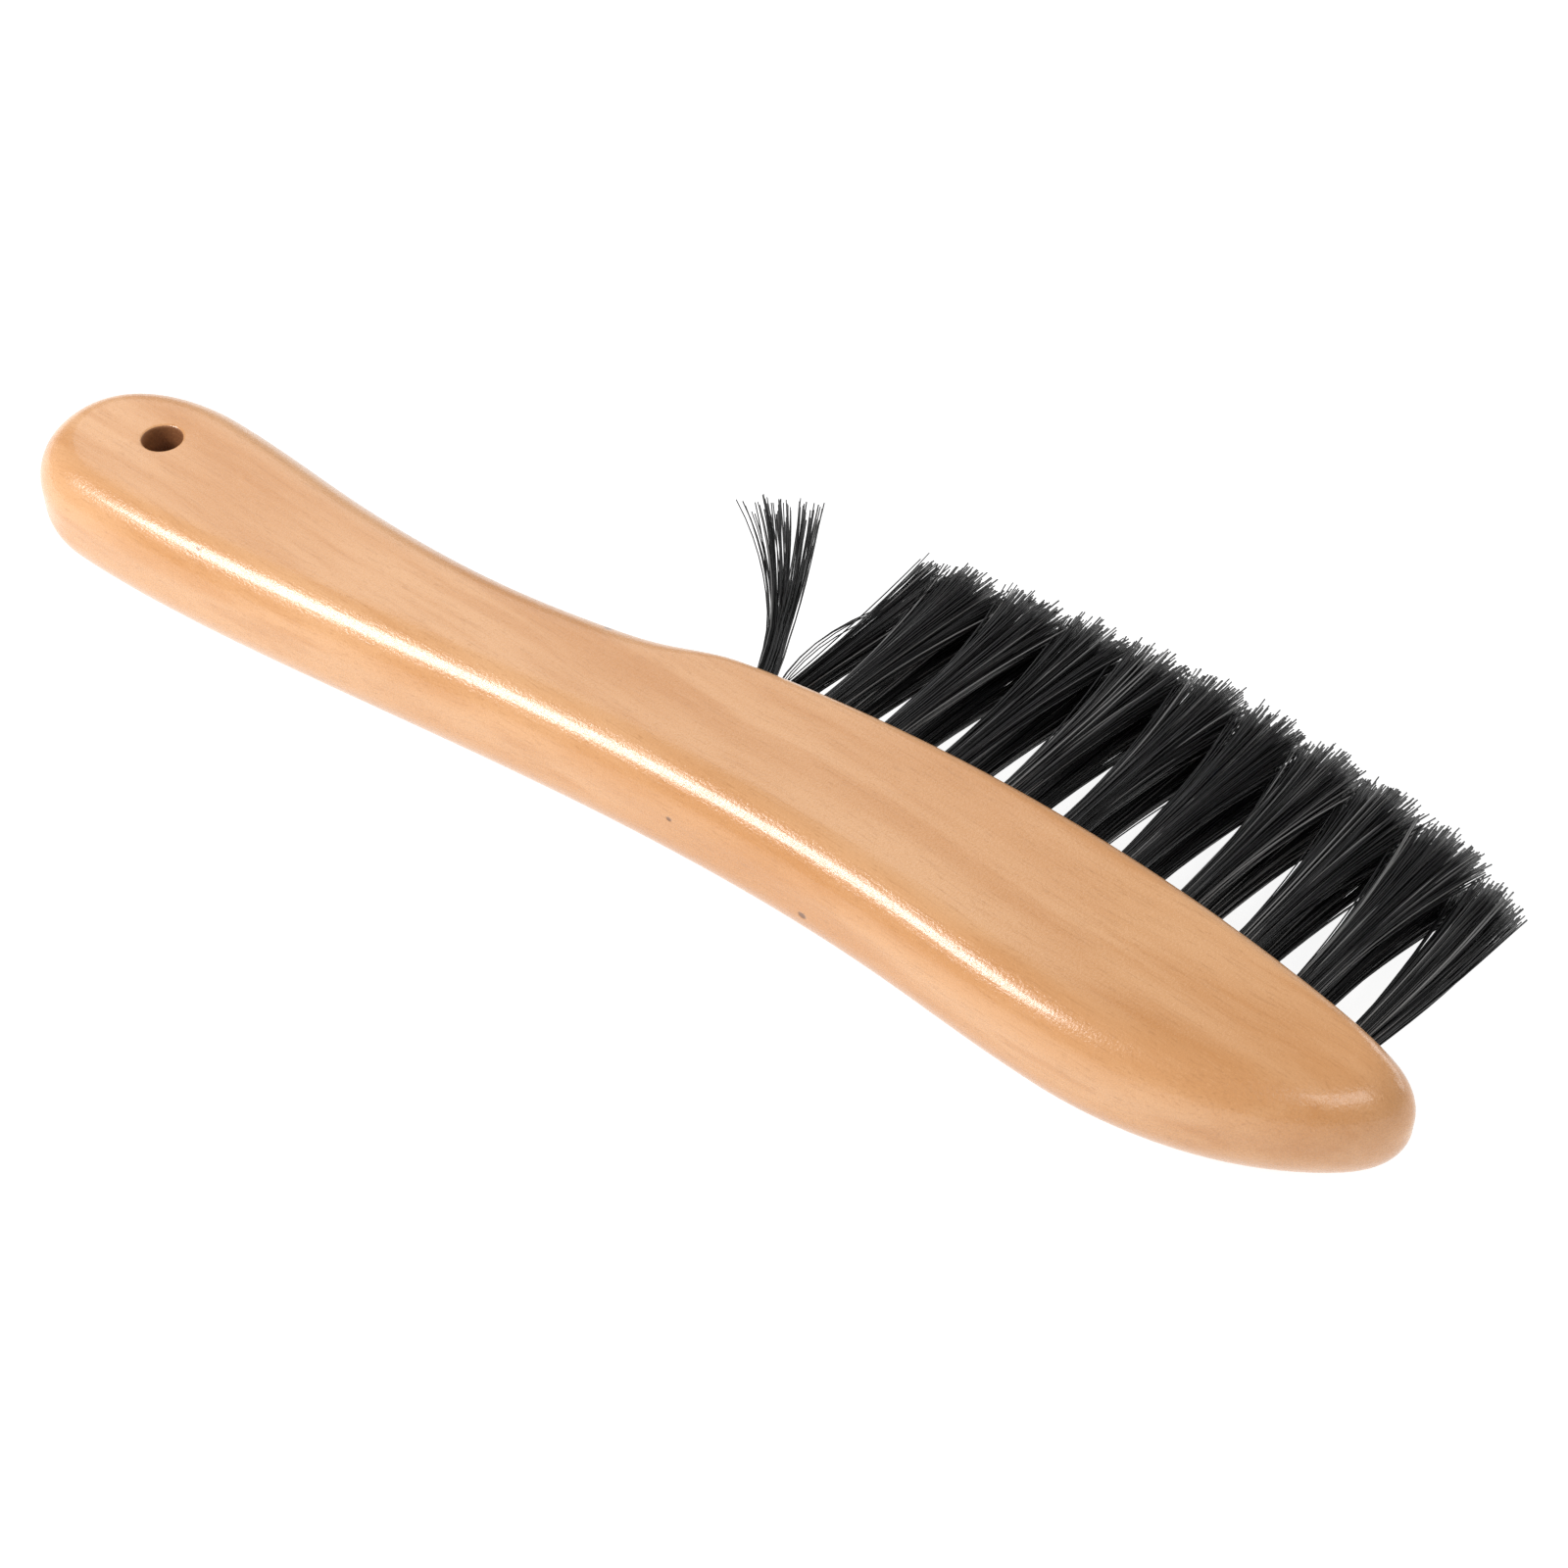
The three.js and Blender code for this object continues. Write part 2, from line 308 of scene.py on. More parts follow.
class Effects:
    """Shader effects that several finishes share, each built once as a node group."""

    def __init__(self) -> None:
        """Builds the groups."""
        self.streaks = self.build_streaks()
        self.specks = self.build_specks()

    @staticmethod
    def build_streaks() -> bpy.types.NodeTree:
        """Long soft marks along X, sized in millimetres."""
        tree, graph, given, gives = new_group(
            "Streaks",
            {"Place": None, "Length": 20.0, "Width": 1.0, "Detail": 3.0, "Shift": 0.0},
            {"Mark": "NodeSocketFloat"},
        )
        along = graph.math("DIVIDE", 1.0, given.outputs["Length"])
        across = graph.math("DIVIDE", 1.0, given.outputs["Width"])
        scale = graph.node("ShaderNodeCombineXYZ", X=along, Y=across, Z=across)
        placed = graph.vector("MULTIPLY", given.outputs["Place"], scale.outputs[0])
        moved = graph.vector("ADD", placed, given.outputs["Shift"])
        noise = graph.node("ShaderNodeTexNoise", Vector=moved, Scale=1.0)
        graph.feed(noise.inputs["Detail"], given.outputs["Detail"])
        graph.feed(gives.inputs["Mark"], noise.outputs["Fac"])
        return tree

    @staticmethod
    def build_specks() -> bpy.types.NodeTree:
        """Sparse small round marks of uneven size, sized in millimetres."""
        tree, graph, given, gives = new_group(
            "Specks",
            {"Place": None, "Spacing": 8.0, "Radius": 0.2, "Share": 0.5, "Stretch": 1.0},
            {"Mark": "NodeSocketFloat"},
        )
        spacing = given.outputs["Spacing"]
        across = graph.math("DIVIDE", 1.0, spacing)
        along = graph.math("DIVIDE", across, given.outputs["Stretch"])
        scale = graph.node("ShaderNodeCombineXYZ", X=along, Y=across, Z=across)
        placed = graph.vector("MULTIPLY", given.outputs["Place"], scale.outputs[0])
        cells = graph.node("ShaderNodeTexVoronoi", Vector=placed, Scale=1.0)
        reach = graph.math("DIVIDE", given.outputs["Radius"], spacing)
        pick = graph.node("ShaderNodeSeparateColor", Color=cells.outputs["Color"])
        chosen = graph.math("LESS_THAN", pick.outputs["Red"], given.outputs["Share"])
        size = graph.math("MULTIPLY", reach, graph.math("ADD", pick.outputs["Green"], 0.35))
        near = graph.math("SUBTRACT", 1.0, graph.math("DIVIDE", cells.outputs["Distance"], size))
        soft = graph.ramp(near, 0.0, 0.5)
        graph.feed(gives.inputs["Mark"], graph.math("MULTIPLY", soft, chosen))
        return tree


class Finish:
    """What every finish shares: a new material with its graph, its shader and its place input."""

    label = "finish"

    def start(self) -> tuple[bpy.types.Material, Graph, bpy.types.Node, bpy.types.NodeSocket]:
        """Starts a material.

        Returns:
            The material, its graph, its Principled shader, and the place in millimetres.
        """
        material = bpy.data.materials.new(self.label)
        material.use_nodes = True
        material.node_tree.nodes.clear()
        graph = Graph(material.node_tree)
        shader = graph.node("ShaderNodeBsdfPrincipled")
        out = graph.node("ShaderNodeOutputMaterial")
        graph.feed(out.inputs["Surface"], shader.outputs[0])
        place = graph.node("ShaderNodeTexCoord").outputs["Object"]
        return material, graph, shader, graph.scaled(place, 1.0 / MM)

    @staticmethod
    def placed(
        graph: Graph, tree: bpy.types.NodeTree, **inputs: object
    ) -> bpy.types.NodeSocket:
        """Places a shared effect and gives its first output.

        Args:
            graph: The graph that it goes into.
            tree: The effect's group.
            **inputs: Values or sockets for its inputs.

        Returns:
            The effect's output.
        """
        made = graph.node("ShaderNodeGroup", {"node_tree": tree})
        for name, value in inputs.items():
            graph.feed(made.inputs[name], value)
        return made.outputs[0]


@dataclass(frozen=True)
class Streak:
    """The size of one kind of streak in the wood, in millimetres, and how fine its edges are."""

    length: float
    width: float
    detail: float
    shift: float = 0.0


@dataclass(frozen=True)
class Fade:
    """How a mark shows: from one strength to another while it goes from low to high."""

    low: float
    high: float
    start: float = 0.0
    end: float = 1.0


@dataclass(frozen=True)
class LacqueredWood(Finish):
    """Pale straight-grained hardwood under clear lacquer."""

    effects: Effects
    label: str = "lacquered_wood"
    pale: tuple = (0.715, 0.390, 0.187, 1.0)
    tan: tuple = (0.620, 0.300, 0.119, 1.0)
    amber: tuple = (0.540, 0.225, 0.062, 1.0)
    fleck: tuple = (0.420, 0.190, 0.070, 1.0)
    speck: tuple = (0.120, 0.045, 0.020, 1.0)
    roughness: float = 0.24
    coat: float = 0.35
    coat_roughness: float = 0.11
    sway: float = 5.0
    sway_scale: float = 0.018
    broad: Streak = Streak(70.0, 11.0, 3.0)
    band: Streak = Streak(42.0, 3.6, 5.0, 7.3)
    fibre: Streak = Streak(9.0, 0.35, 3.0, 3.1)
    dash: Streak = Streak(1.7, 0.28, 1.0, 11.9)
    broad_tan: Fade = Fade(0.36, 0.66)
    band_amber: Fade = Fade(0.50, 0.72, 0.0, 0.42)
    band_pale: Fade = Fade(0.46, 0.28, 0.0, 0.35)
    fibre_fleck: Fade = Fade(0.52, 0.74, 0.0, 0.27)
    dash_fleck: Fade = Fade(0.60, 0.74, 0.0, 0.30)
    dash_pale: Fade = Fade(0.40, 0.28, 0.0, 0.28)
    pore_spacing: float = 5.0
    pore_radius: float = 0.62
    pore_share: float = 0.09
    pore_stretch: float = 1.3
    pore_strength: float = 0.8
    stipple_scale: float = 2.1
    smoother: float = 0.05
    rougher: float = 0.07
    fibre_relief: float = 0.6
    stipple_relief: float = 1.1
    pore_relief: float = 1.5
    bump_strength: float = 0.75
    bump_height: float = 0.08

    def streak(self, graph: Graph, place: bpy.types.NodeSocket, kind: Streak) -> bpy.types.NodeSocket:
        """Places one kind of streak and gives its mark."""
        return self.placed(
            graph,
            self.effects.streaks,
            Place=place,
            Length=kind.length,
            Width=kind.width,
            Detail=kind.detail,
            Shift=kind.shift,
        )

    def material(self) -> bpy.types.Material:
        """Builds the material.

        Returns:
            The wood's material, with grain along X.
        """
        material, graph, shader, place = self.start()
        wander = graph.node("ShaderNodeTexNoise", Vector=place, Scale=self.sway_scale, Detail=2.0)
        wavy = graph.vector("ADD", place, graph.scaled(wander.outputs["Color"], self.sway))
        broad = self.streak(graph, wavy, self.broad)
        band = self.streak(graph, wavy, self.band)
        fibre = self.streak(graph, wavy, self.fibre)
        dash = self.streak(graph, wavy, self.dash)
        colour = self.pale
        for mark, fade, tint in (
            (broad, self.broad_tan, self.tan),
            (band, self.band_amber, self.amber),
            (band, self.band_pale, self.pale),
            (fibre, self.fibre_fleck, self.fleck),
            (dash, self.dash_fleck, self.fleck),
            (dash, self.dash_pale, self.pale),
        ):
            share = graph.ramp(mark, fade.low, fade.high, fade.start, fade.end)
            colour = graph.mix(share, colour, tint)
        pore = self.placed(
            graph,
            self.effects.specks,
            Place=place,
            Spacing=self.pore_spacing,
            Radius=self.pore_radius,
            Share=self.pore_share,
            Stretch=self.pore_stretch,
        )
        colour = graph.mix(graph.math("MULTIPLY", pore, self.pore_strength), colour, self.speck)
        graph.feed(shader.inputs["Base Color"], colour)

        noise = graph.node("ShaderNodeTexNoise", Vector=place, Scale=self.stipple_scale, Detail=3.0)
        stipple = noise.outputs["Fac"]
        smooth, rough = self.roughness - self.smoother, self.roughness + self.rougher
        graph.feed(shader.inputs["Roughness"], graph.ramp(stipple, 0.3, 0.7, smooth, rough))
        relief = graph.math("MULTIPLY", fibre, self.fibre_relief)
        relief = graph.math("ADD", relief, graph.math("MULTIPLY", stipple, self.stipple_relief))
        relief = graph.math("SUBTRACT", relief, graph.math("MULTIPLY", pore, self.pore_relief))
        bump = graph.node("ShaderNodeBump", Strength=self.bump_strength, Height=relief)
        bump.inputs["Distance"].default_value = self.bump_height * MM
        graph.feed(shader.inputs["Normal"], bump.outputs["Normal"])
        shader.inputs["Coat Weight"].default_value = self.coat
        shader.inputs["Coat Roughness"].default_value = self.coat_roughness
        return material


def bare_wall_painted_shade(effects: Effects) -> LacqueredWood:
    """The same wood where it is cut across and left bare, with painted shade: its colours are darkened
    for the shade inside the hang hole.
    """
    return LacqueredWood(
        effects,
        label="bare_wall_painted_shade",
        # These dark colours are painted shade for the inside of the hang hole.
        pale=(0.330, 0.140, 0.050, 1.0),
        tan=(0.230, 0.085, 0.030, 1.0),
        amber=(0.160, 0.055, 0.020, 1.0),
        roughness=0.6,
        coat=0.0,
    )


@dataclass(frozen=True)
class BlackBristle(Finish):
    """Glossy black bristle, a little different from strand to strand; about one strand in ten is
    painted light grey as a painted highlight.
    """

    effects: Effects
    label: str = "black_bristle"
    deep: tuple = (0.0025, 0.0025, 0.0028, 1.0)
    grey: tuple = (0.011, 0.011, 0.012, 1.0)
    # Painted highlight: the light grey given to a few strands, standing in for the glints along them.
    light: tuple = (0.190, 0.187, 0.184, 1.0)
    tip: tuple = (0.020, 0.020, 0.020, 1.0)

    def material(self) -> bpy.types.Material:
        """Builds the material.

        Returns:
            The bristles' material, which reads the strand and share attributes.
        """
        material, graph, shader, place = self.start()
        strand = graph.node("ShaderNodeAttribute", {"attribute_name": "strand"}).outputs["Fac"]
        share = graph.node("ShaderNodeAttribute", {"attribute_name": "share"}).outputs["Fac"]
        mottle = graph.node("ShaderNodeTexNoise", Vector=place, Scale=0.9, Detail=2.0)
        tone = graph.math("MULTIPLY", strand, mottle.outputs["Fac"])
        colour = graph.mix(graph.ramp(tone, 0.1, 0.55), self.deep, self.grey)
        # Painted highlight: strands with a high strand number take the light grey in place of real
        # glints.
        colour = graph.mix(graph.ramp(strand, 0.82, 0.92, 0.0, 0.9), colour, self.light)
        colour = graph.mix(graph.ramp(share, 0.985, 1.0, 0.0, 0.8), colour, self.tip)
        graph.feed(shader.inputs["Base Color"], colour)
        graph.feed(shader.inputs["Roughness"], graph.ramp(strand, 0.0, 1.0, 0.20, 0.38))
        crimp = self.placed(
            graph, self.effects.specks, Place=place, Spacing=1.4, Radius=0.5, Share=0.5
        )
        bump = graph.node("ShaderNodeBump", Strength=0.25, Distance=0.02 * MM, Height=crimp)
        graph.feed(shader.inputs["Normal"], bump.outputs["Normal"])
        return material


@dataclass(frozen=True)
class StapleSteel(Finish):
    """Drawn and galvanised steel wire."""

    effects: Effects
    label: str = "staple_steel"
    bright: tuple = (0.62, 0.63, 0.64, 1.0)
    dull: tuple = (0.36, 0.37, 0.38, 1.0)

    def material(self) -> bpy.types.Material:
        """Builds the material.

        Returns:
            The wire's material, with drawing marks and a crystalline coat.
        """
        material, graph, shader, place = self.start()
        drawn = self.placed(
            graph, self.effects.streaks, Place=place, Length=4.0, Width=0.08, Detail=2.0
        )
        spangle = self.placed(
            graph, self.effects.specks, Place=place, Spacing=0.6, Radius=0.5, Share=0.7
        )
        colour = graph.mix(graph.ramp(drawn, 0.4, 0.65), self.bright, self.dull)
        colour = graph.mix(graph.math("MULTIPLY", spangle, 0.3), colour, self.dull)
        graph.feed(shader.inputs["Base Color"], colour)
        graph.feed(shader.inputs["Roughness"], graph.ramp(drawn, 0.3, 0.7, 0.25, 0.45))
        bump = graph.node("ShaderNodeBump", Strength=0.3, Distance=0.01 * MM, Height=drawn)
        graph.feed(shader.inputs["Normal"], bump.outputs["Normal"])
        shader.inputs["Metallic"].default_value = 1.0
        return material


@dataclass(frozen=True)
class PaleTable(Finish):
    """Plain pale table top, lit a little from below."""

    effects: Effects
    label: str = "pale_table"
    colour: tuple = (0.30, 0.30, 0.30, 1.0)
    shade: tuple = (0.28, 0.28, 0.28, 1.0)
    glow: float = 0.90

    def material(self) -> bpy.types.Material:
        """Builds the material.

        Returns:
            The table's material, with a very faint mottle.
        """
        material, graph, shader, place = self.start()
        mottle = graph.node("ShaderNodeTexNoise", Vector=place, Scale=0.02, Detail=2.0)
        share = graph.ramp(mottle.outputs["Fac"], 0.3, 0.7)
        graph.feed(shader.inputs["Base Color"], graph.mix(share, self.colour, self.shade))
        shader.inputs["Roughness"].default_value = 0.9
        shader.inputs["Emission Color"].default_value = (1.0, 1.0, 1.0, 1.0)
        shader.inputs["Emission Strength"].default_value = self.glow
        return material


# ---------------------------------------------------------------------------------------------
# The wooden block
# ---------------------------------------------------------------------------------------------


@dataclass
class OutlineNode:
    """A place where the block's outline turns, with the direction it runs in there."""

    x: float
    y: float
    angle: float


@dataclass
class BlockOutline:
    """The block's outline seen from above, measured from the crown of the bristle face."""

    first_column: float = -57.0
    nose_tuft: float = 55.7
    handle_length: float = 138.0
    butt_width: float = 35.8
    butt_drop: float = 15.6
    butt_top_reach: float = 25.6
    butt_low_reach: float = 19.0
    waist_drop: float = 17.2
    waist_reach: float = 71.6
    head_width: float = 36.0
    belly_from_nose: float = 48.7
    hollow_from_nose: float = 89.3
    hollow_depth: float = 1.4
    face_radius: float = 290.0
    shoulder_margin: float = 5.5
    shoulder_angle: float = 14.5
    nose_margin: float = 3.0
    nose_overhang: float = 15.0
    nose_below_face: float = 6.0
    curve_points: int = 240
    spacing: float = 0.7

    def face_height(self, x: float) -> float:
        """Height of the convex bristle face at x."""
        return math.sqrt(self.face_radius**2 - x**2) - self.face_radius

    @property
    def butt_end(self) -> float:
        """X of the handle's end."""
        return self.first_column - self.handle_length

    @property
    def nose_end(self) -> float:
        """X of the nose's tip."""
        return self.nose_tuft + self.nose_overhang

    @property
    def nose_drop(self) -> float:
        """How far the nose's tip lies below the crown of the bristle face."""
        return self.nose_below_face - self.face_height(self.face_range[1])

    @property
    def lowest(self) -> float:
        """Y of the lowest place on the back."""
        return -self.butt_drop - self.butt_width

    @property
    def face_range(self) -> tuple[float, float]:
        """X of the two ends of the bristle face."""
        return self.first_column - self.shoulder_margin, self.nose_tuft + self.nose_margin

    def curve(
        self, a: OutlineNode, b: OutlineNode, leave: float = 0.4, arrive: float = 0.4
    ) -> np.ndarray:
        """Samples the curve between two nodes.

        Args:
            a: Where it starts.
            b: Where it ends.
            leave: How long the start keeps its direction, as a share of the distance.
            arrive: The same for the end.

        Returns:
            Points on the curve, without its last one.
        """
        start, end = np.array([a.x, a.y]), np.array([b.x, b.y])
        span = float(np.hypot(*(end - start)))
        out, into = math.radians(a.angle), math.radians(b.angle)
        first = start + leave * span * np.array([math.cos(out), math.sin(out)])
        second = end - arrive * span * np.array([math.cos(into), math.sin(into)])
        t = np.linspace(0.0, 1.0, self.curve_points, endpoint=False)[:, None]
        return (
            (1 - t) ** 3 * start
            + 3 * t * (1 - t) ** 2 * first
            + 3 * t**2 * (1 - t) * second
            + t**3 * end
        )

    def points(self) -> np.ndarray:
        """The closed outline in even steps, anticlockwise from the nose end of the face."""
        start_x, end_x = self.face_range
        lean = math.degrees(math.asin(end_x / self.face_radius))
        face_end = OutlineNode(end_x, self.face_height(end_x), 180 - lean)
        face_start = OutlineNode(start_x, self.face_height(start_x), 180 + self.shoulder_angle)
        waist = OutlineNode(self.first_column - self.waist_reach, -self.waist_drop, 180)
        butt_top = OutlineNode(self.butt_end + self.butt_top_reach, -self.butt_drop, 180)
        butt_middle = -self.butt_drop - self.butt_width / 2
        butt = OutlineNode(self.butt_end, butt_middle, 270)
        butt_low = OutlineNode(self.butt_end + self.butt_low_reach, self.lowest, 0)
        hollow_y = self.hollow_depth - self.head_width
        hollow = OutlineNode(self.nose_end - self.hollow_from_nose, hollow_y, 0)
        belly = OutlineNode(self.nose_end - self.belly_from_nose, -self.head_width, 0)
        nose = OutlineNode(self.nose_end, -self.nose_drop, 90)
        face_x = np.linspace(end_x, start_x, self.curve_points, endpoint=False)
        face = np.array([(x, self.face_height(x)) for x in face_x])
        parts = [
            face,
            self.curve(face_start, waist, 0.37, 0.42),
            self.curve(waist, butt_top),
            self.curve(butt_top, butt),
            self.curve(butt, butt_low),
            self.curve(butt_low, hollow, 0.28, 0.37),
            self.curve(hollow, belly),
            self.curve(belly, nose, 0.48, 0.17),
            self.curve(nose, face_end),
        ]
        return self.even_steps(np.vstack(parts))

    def even_steps(self, line: np.ndarray) -> np.ndarray:
        """Places points evenly along a closed line.

        Args:
            line: The line's points, with no repeated end.

        Returns:
            Points about one spacing apart.
        """
        closed = np.vstack([line, line[:1]])
        lengths = np.hypot(*np.diff(closed, axis=0).T)
        travelled = np.concatenate([[0.0], np.cumsum(lengths)])
        count = int(round(travelled[-1] / self.spacing))
        stops = np.linspace(0.0, travelled[-1], count, endpoint=False)
        return np.stack([np.interp(stops, travelled, closed[:, k]) for k in (0, 1)], axis=1)


@dataclass
class WoodenBlock:
    """Handle and head in one piece, with its hang hole, tuft holes and staple slots."""

    finish: LacqueredWood
    bare: LacqueredWood
    name: str = "wooden_block"
    node: str = "block"
    outline: BlockOutline = field(default_factory=BlockOutline)
    thickness: float = 20.0
    side_edge: float = 8.0
    face_edge: float = 3.5
    nose_inset: float = 10.0
    nose_height: float = 9.4
    nose_length: float = 24.0
    nose_centre: float = 19.0
    edge_softness: float = 2.1
    nose_softness: float = 2.35
    edge_steps: int = 16
    wall_steps: int = 4
    hang_hole_diameter: float = 7.0
    hang_hole_from_butt: float = 22.0
    hang_hole_from_top: float = 15.6
    hang_hole_rim: float = 0.6
    tuft_hole_diameter: float = 4.5
    tuft_hole_depth: float = 12.0
    mouth_chamfer: float = 0.2
    mouth_height: float = 3.0
    drill_slope: float = 31.0
    slot_width: float = 1.4
    slot_depth: float = 15.3
    slot_overlap: float = 3.0
    cutter_overrun: float = 2.0
    rim_steps: int = 6
    hang_hole_sides: int = 72
    tuft_hole_sides: int = 40
    sharp_angle: float = 38.0
    wall_margin: float = 0.05

    def __post_init__(self) -> None:
        """Finds how far the solid lies from the outline's own origin."""
        low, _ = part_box(self.node)
        self.shift = np.array(
            [low.x / MM - self.outline.butt_end, low.y / MM - self.outline.lowest, low.z / MM]
        )

    def seat(self, tuft: str) -> np.ndarray:
        """Where a tuft's hole meets the bristle face.

        Args:
            tuft: The tuft's name.

        Returns:
            The place in millimetres, in the scene's frame.
        """
        low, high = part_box("staple_" + tuft)
        x, z = (low.x + high.x) / 2 / MM, (low.z + high.z) / 2 / MM
        return np.array([x, self.outline.face_height(x - self.shift[0]) + self.shift[1], z])

    def edge_sizes(self, line: np.ndarray) -> tuple[np.ndarray, np.ndarray]:
        """The rounding at each place: small beside the tufts, large everywhere else.

        Args:
            line: The outline's points.

        Returns:
            How far the rounding reaches in from the outline, and how far up and down.
        """
        start_x, end_x = self.outline.face_range
        x, y = line[:, 0], line[:, 1]
        upper = smoothstep(-13.0, -7.0, y)
        along = smoothstep(start_x - 16.0, start_x + 2.0, x)
        before_nose = 1.0 - smoothstep(end_x + 1.0, self.outline.nose_end - 0.5, x)
        beside = smooth_round(upper * along * before_nose, 10)
        at_nose = self.at_nose(line)
        inset = self.side_edge + (self.nose_inset - self.side_edge) * at_nose
        height = self.side_edge + (self.nose_height - self.side_edge) * at_nose
        inset = inset + (self.face_edge - inset) * beside
        height = height + (self.face_edge - height) * beside
        return inset, height

    def at_nose(self, line: np.ndarray) -> np.ndarray:
        """How near each place on the outline is to the tip of the nose, from 0 to 1."""
        start = self.outline.nose_end - self.nose_length
        return smooth_round(smoothstep(start, self.outline.nose_end - 1.0, line[:, 0]), 16)

    def inward(self, line: np.ndarray) -> np.ndarray:
        """Which way the rounding runs in from each place on the outline.

        Args:
            line: The outline's points.

        Returns:
            Square to the outline, or at the nose towards a centre, so that it never folds.
        """
        along = unit(np.roll(line, -1, axis=0) - np.roll(line, 1, axis=0))
        square = unit(smooth_round(np.stack([-along[:, 1], along[:, 0]], axis=1), 12))
        centre = np.array([self.outline.nose_end - self.nose_centre, -self.outline.nose_drop - 1.0])
        share = self.at_nose(line)[:, None]
        return unit(square * (1 - share) + unit(centre - line) * share)

    def shell(self) -> tuple[np.ndarray, list]:
        """The block without its holes.

        Returns:
            Its points and its faces.
        """
        line = self.outline.points()
        inward = self.inward(line)
        softer = self.nose_softness - self.edge_softness
        softness = self.edge_softness + softer * self.at_nose(line)
        inset, height = self.edge_sizes(line)
        count = len(line)
        rows = []

        def row(reach: np.ndarray, z: np.ndarray) -> None:
            """Adds one closed row of points, inset from the outline at a height."""
            flat = line + inward * reach[:, None]
            rows.append(np.column_stack([flat, z]))

        zeros = np.zeros(count)
        top = np.full(count, self.thickness)
        for step in range(self.edge_steps + 1):
            angle = math.pi / 2 * (1 - step / self.edge_steps)
            row(inset * (1 - math.cos(angle)), height * self.drop(angle, softness))
        for step in range(1, self.wall_steps):
            share = step / self.wall_steps
            row(zeros, height + (top - 2 * height) * share)
        for step in range(self.edge_steps + 1):
            angle = math.pi / 2 * step / self.edge_steps
            row(inset * (1 - math.cos(angle)), top - height * self.drop(angle, softness))
        rows.insert(0, self.flat_row(rows[0], inward))
        rows.append(self.flat_row(rows[-1], inward))
        points = np.vstack(rows)
        faces = []
        for level in range(len(rows) - 1):
            low, high = level * count, (level + 1) * count
            for k in range(count):
                after = (k + 1) % count
                faces.append((low + k, low + after, high + after, high + k))
        return points, faces

    @staticmethod
    def drop(angle: float, softness: np.ndarray) -> np.ndarray:
        """How far below the flat the rounding is, as a share of its height.

        Args:
            angle: How far round it is, from the wall at 0 to the flat at a right angle.
            softness: 2 for a plain round, and more for one that fades into the flat.

        Returns:
            The share at each place.
        """
        return 1.0 - np.sqrt(1.0 - max(math.cos(angle), 0.0) ** softness)

    @staticmethod
    def flat_row(edge: np.ndarray, inward: np.ndarray, step: float = 0.5) -> np.ndarray:
        """A row just inside the rounding, on the flat, so that the flat shades flat."""
        inner = edge.copy()
        inner[:, :2] += inward * step
        return inner

    def body(self) -> bpy.types.Object:
        """Closes the shell's two flat sides.

        Returns:
            The block without its holes.
        """
        points, faces = self.shell()
        count = len(self.outline.points())
        mesh = mesh_from(self.name, points + self.shift, faces)
        made = bmesh.new()
        made.from_mesh(mesh)
        made.verts.ensure_lookup_table()
        total = len(made.verts)
        for start in (0, total - count):
            ring = [made.verts[start + k] for k in range(count)]
            edges = [made.edges.get((ring[k], ring[(k + 1) % count])) for k in range(count)]
            bmesh.ops.triangle_fill(made, use_beauty=True, use_dissolve=False, edges=edges)
        bmesh.ops.recalc_face_normals(made, faces=made.faces)
        made.to_mesh(mesh)
        made.free()
        return link_mesh(self.name, mesh)

    @property
    def hang_hole_axis(self) -> tuple[float, float]:
        """X and Y of the hang hole's middle, in the scene's frame."""
        x = self.outline.butt_end + self.hang_hole_from_butt + self.shift[0]
        return x, self.shift[1] - self.outline.butt_drop - self.hang_hole_from_top

    def hang_hole_cutter(self) -> bpy.types.Object:
        """The hang hole's shape, which opens out at both mouths over a small round."""
        radius, rim, past = self.hang_hole_diameter / 2, self.hang_hole_rim, self.cutter_overrun
        lower = []
        for step in range(self.rim_steps + 1):
            angle = math.pi / 2 * step / self.rim_steps
            lower.append((radius + rim * (1 - math.sin(angle)), rim * (1 - math.cos(angle))))
        upper = [(r, self.thickness - h) for r, h in reversed(lower)]
        profile = [(0.0, -past), (radius + rim, -past)] + lower + upper
        profile += [(radius + rim, self.thickness + past), (0.0, self.thickness + past)]
        points, faces = lathe(profile, self.hang_hole_sides)
        turned = np.stack([points[:, 0], -points[:, 2], points[:, 1]], axis=1)
        x, y = self.hang_hole_axis
        placed = turned + np.array([x, y, self.shift[2]])
        return link_mesh("hang_hole_cutter", mesh_from("hang_hole_cutter", placed, faces))

    def tuft_hole_cutter(self, tufts: list[str]) -> bpy.types.Object:
        """The drilled holes of all the tufts."""
        radius, chamfer = self.tuft_hole_diameter / 2, self.mouth_chamfer
        point = radius * math.tan(math.radians(self.drill_slope))
        profile = [
            (0.0, -self.tuft_hole_depth - point),
            (radius, -self.tuft_hole_depth),
            (radius, -chamfer),
            (radius + 2 * chamfer, chamfer),
            (radius + 2 * chamfer, self.mouth_height),
            (0.0, self.mouth_height),
        ]
        points, faces = lathe(profile, self.tuft_hole_sides)
        return self.repeated("tuft_hole_cutter", tufts, points, faces)

    def slot_cutter(self, tufts: list[str]) -> bpy.types.Object:
        """The slots that the staples' legs were driven into."""
        half_x, half_z = self.slot_width / 2, self.tuft_hole_diameter / 2
        low, high = -self.slot_depth, -self.tuft_hole_depth + self.slot_overlap
        corners = [(x, y, z) for x in (-half_x, half_x) for y in (low, high) for z in (-half_z, half_z)]
        faces = [(0, 1, 3, 2), (4, 6, 7, 5), (0, 4, 5, 1), (2, 3, 7, 6), (0, 2, 6, 4), (1, 5, 7, 3)]
        return self.repeated("slot_cutter", tufts, np.array(corners), faces)

